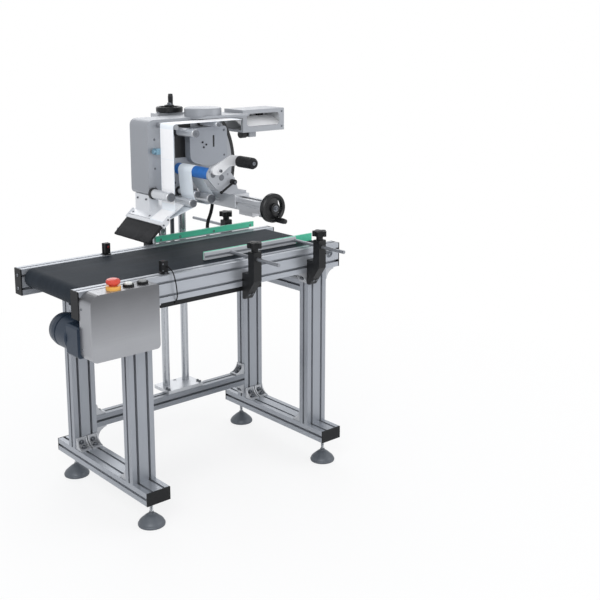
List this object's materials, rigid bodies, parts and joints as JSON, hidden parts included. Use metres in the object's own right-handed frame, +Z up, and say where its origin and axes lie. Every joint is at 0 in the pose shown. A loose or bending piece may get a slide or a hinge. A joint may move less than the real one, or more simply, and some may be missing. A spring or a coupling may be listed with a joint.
{
  "type": "flat surface labeling machine",
  "caption": "Belt conveyor on a slotted aluminium frame with side guides and a screw-driven column lift and cross slide that carry a label head with web rollers, peel plate and wiping brush.",
  "frame": {"origin": "on the floor, at the middle of the whole extent in X and in Y", "axes": "+X along the belt from the drive end to the outfeed end, +Y across the belt from the operator's side to the column side, +Z up"},
  "size_m": [0.9886, 0.781, 1.223],
  "materials": {
    "anodised_profile": "satin",
    "belt_rubber": "matte",
    "black_paint": "satin",
    "black_plastic": "matte",
    "black_rubber": "matte",
    "blue_rubber": "matte",
    "bracket_black": "matte",
    "bristle_black": "matte",
    "button_grey": "gloss",
    "button_white": "gloss",
    "cast_aluminium": "cast",
    "cover_steel": "brushed",
    "foot_grey": "matte",
    "ground_steel": "polished",
    "head_paint": "satin",
    "label_paper": "satin",
    "lever_chrome": "polished",
    "machined_aluminium": "machined",
    "motor_navy": "satin",
    "roller_steel": "turned",
    "screw_steel": "turned",
    "signal_red": "gloss",
    "signal_yellow": "gloss",
    "strip_green": "satin",
    "wheel_black": "satin",
    "zinc_sheet": "satin"
  },
  "bodies": {
    "frame": {"cross_profiles": "anodised_profile", "posts": "anodised_profile", "stretcher": "anodised_profile", "side_rails": "anodised_profile", "end_caps": "black_plastic", "corner_brackets": "cast_aluminium", "levelling_feet": "foot_grey", "conveyor_belt": "belt_rubber", "slider_bed": "zinc_sheet", "roller_bearings": "roller_steel", "timing_belt": "black_rubber", "drive_cover": "cover_steel", "gearmotor": "motor_navy", "stop_collar": "signal_yellow", "button_bezels": "black_plastic", "cable_ducts": "black_plastic", "detection_sensors": "black_plastic", "sensor_cable": "black_rubber", "guide_brackets": "bracket_black", "guide_knobs": "black_plastic", "column_plates": "machined_aluminium", "columns": "ground_steel", "head_hose": "black_rubber"},
    "drive_roller": {"drive_roller": "roller_steel"},
    "tail_roller": {"tail_roller": "roller_steel"},
    "motor_pulley": {"motor_pulley": "machined_aluminium"},
    "stop_button": {"stop_button": "signal_red"},
    "start_button": {"start_button": "button_white"},
    "reset_button": {"reset_button": "button_grey"},
    "front_guide": {"front_guide_bar": "anodised_profile", "front_guide_strip": "strip_green"},
    "back_guide": {"back_guide_bar": "anodised_profile", "back_guide_strip": "strip_green"},
    "lift_drive": {"lead_screw": "screw_steel", "lift_wheel": "wheel_black"},
    "lift": {"lift_block": "machined_aluminium", "slide_beam": "machined_aluminium"},
    "cross_drive": {"cross_wheel": "wheel_black"},
    "head": {"carriage": "machined_aluminium", "front_plate": "head_paint", "ring_housing": "head_paint", "back_plate": "black_paint", "roller_housing": "head_paint", "roller_pins": "screw_steel", "peel_plate": "machined_aluminium", "brush_bristles": "bristle_black", "feeder_box": "head_paint", "web_sensor": "machined_aluminium", "label_web": "label_paper"},
    "pull_roller": {"pull_roller": "blue_rubber"},
    "nip_roller": {"nip_roller": "roller_steel"},
    "nip_lever": {"nip_lever": "lever_chrome", "lever_grip": "black_plastic"},
    "clamp_lever": {"clamp_lever": "black_plastic"},
    "guide_roller_a": {"guide_roller_a": "machined_aluminium"},
    "guide_roller_b": {"guide_roller_b": "machined_aluminium"},
    "guide_roller_c": {"guide_roller_c": "machined_aluminium"},
    "guide_roller_d": {"guide_roller_d": "machined_aluminium"},
    "guide_roller_e": {"guide_roller_e": "machined_aluminium"},
    "guide_roller_f": {"guide_roller_f": "machined_aluminium"}
  },
  "joints": [
    {"name": "drive_roller_spin", "type": "hinge", "parent": "frame", "child": "drive_roller", "pos_m": [-0.4443, -0.0425, 0.7066], "axis": [0, 1, 0], "continuous": true},
    {"name": "tail_roller_spin", "type": "hinge", "parent": "frame", "child": "tail_roller", "pos_m": [0.4484, -0.0425, 0.7066], "axis": [0, 1, 0], "continuous": true},
    {"name": "motor_pulley_spin", "type": "hinge", "parent": "frame", "child": "motor_pulley", "pos_m": [-0.4443, -0.2515, 0.592], "axis": [0, 1, 0], "continuous": true},
    {"name": "stop_button_press", "type": "slide", "parent": "frame", "child": "stop_button", "axis": [0, 0, 1], "range_m": [-0.005, 0]},
    {"name": "start_button_press", "type": "slide", "parent": "frame", "child": "start_button", "axis": [0, 0, 1], "range_m": [-0.003, 0], "stiffness_N_per_m": 1000, "springref_m": 0.001},
    {"name": "reset_button_press", "type": "slide", "parent": "frame", "child": "reset_button", "axis": [0, 0, 1], "range_m": [-0.003, 0], "stiffness_N_per_m": 1000, "springref_m": 0.001},
    {"name": "front_guide_slide", "type": "slide", "parent": "frame", "child": "front_guide", "axis": [0, 1, 0], "range_m": [-0.08, 0.06]},
    {"name": "back_guide_slide", "type": "slide", "parent": "frame", "child": "back_guide", "axis": [0, 1, 0], "range_m": [-0.15, 0.003]},
    {"name": "lift_wheel_turn", "type": "hinge", "parent": "frame", "child": "lift_drive", "pos_m": [0.1018, 0.1725, 1.16], "axis": [0, 0, 1], "range_deg": [-10800, 4500]},
    {"name": "lift_slide", "type": "slide", "parent": "frame", "child": "lift", "axis": [0, 0, 1], "range_m": [-0.05, 0.12], "deforming": ["head_hose"]},
    {"name": "cross_wheel_turn", "type": "hinge", "parent": "lift", "child": "cross_drive", "pos_m": [0.1223, -0.3045, 0.911], "axis": [0, -1, 0], "range_deg": [-10800, 1800]},
    {"name": "head_slide", "type": "slide", "parent": "lift", "child": "head", "axis": [0, 1, 0], "range_m": [-0.06, 0.01]},
    {"name": "pull_roller_spin", "type": "hinge", "parent": "head", "child": "pull_roller", "pos_m": [0.0213, -0.0875, 1.003], "axis": [0, 1, 0], "continuous": true},
    {"name": "nip_roller_spin", "type": "hinge", "parent": "head", "child": "nip_roller", "pos_m": [0.0528, -0.0875, 0.991], "axis": [0, 1, 0], "continuous": true},
    {"name": "guide_roller_a_spin", "type": "hinge", "parent": "head", "child": "guide_roller_a", "pos_m": [-0.0759, -0.0425, 0.933], "axis": [0, 1, 0], "continuous": true},
    {"name": "guide_roller_b_spin", "type": "hinge", "parent": "head", "child": "guide_roller_b", "pos_m": [0.0053, -0.0425, 0.905], "axis": [0, 1, 0], "continuous": true},
    {"name": "guide_roller_c_spin", "type": "hinge", "parent": "head", "child": "guide_roller_c", "pos_m": [0.0213, -0.0425, 0.932], "axis": [0, 1, 0], "continuous": true},
    {"name": "guide_roller_d_spin", "type": "hinge", "parent": "head", "child": "guide_roller_d", "pos_m": [0.0743, -0.0425, 0.912], "axis": [0, 1, 0], "continuous": true},
    {"name": "guide_roller_e_spin", "type": "hinge", "parent": "head", "child": "guide_roller_e", "pos_m": [0.0203, -0.0425, 1.12], "axis": [0, 1, 0], "continuous": true},
    {"name": "guide_roller_f_spin", "type": "hinge", "parent": "head", "child": "guide_roller_f", "pos_m": [0.1073, -0.0425, 1.143], "axis": [0, 1, 0], "continuous": true},
    {"name": "nip_lever_swing", "type": "hinge", "parent": "head", "child": "nip_lever", "pos_m": [0.0398, -0.1775, 1.014], "axis": [0, -1, 0], "range_deg": [0, 30]},
    {"name": "clamp_lever_swing", "type": "hinge", "parent": "head", "child": "clamp_lever", "pos_m": [0.0918, -0.1815, 0.975], "axis": [0, 1, 0], "range_deg": [0, 28]}
  ],
  "couplings": [
    {"joint": "tail_roller_spin", "follows": "drive_roller_spin", "ratio": 1},
    {"joint": "motor_pulley_spin", "follows": "drive_roller_spin", "ratio": 1},
    {"joint": "lift_wheel_turn", "follows": "lift_slide", "rad_per_m": -1570.8},
    {"joint": "cross_wheel_turn", "follows": "head_slide", "rad_per_m": 3141.6},
    {"joint": "nip_roller_spin", "follows": "pull_roller_spin", "ratio": -1.2857},
    {"joint": "guide_roller_a_spin", "follows": "pull_roller_spin", "ratio": 1.2},
    {"joint": "guide_roller_b_spin", "follows": "pull_roller_spin", "ratio": -1.3846},
    {"joint": "guide_roller_c_spin", "follows": "pull_roller_spin", "ratio": 1.6364},
    {"joint": "guide_roller_d_spin", "follows": "pull_roller_spin", "ratio": 1.2},
    {"joint": "guide_roller_f_spin", "follows": "pull_roller_spin", "ratio": -2}
  ]
}
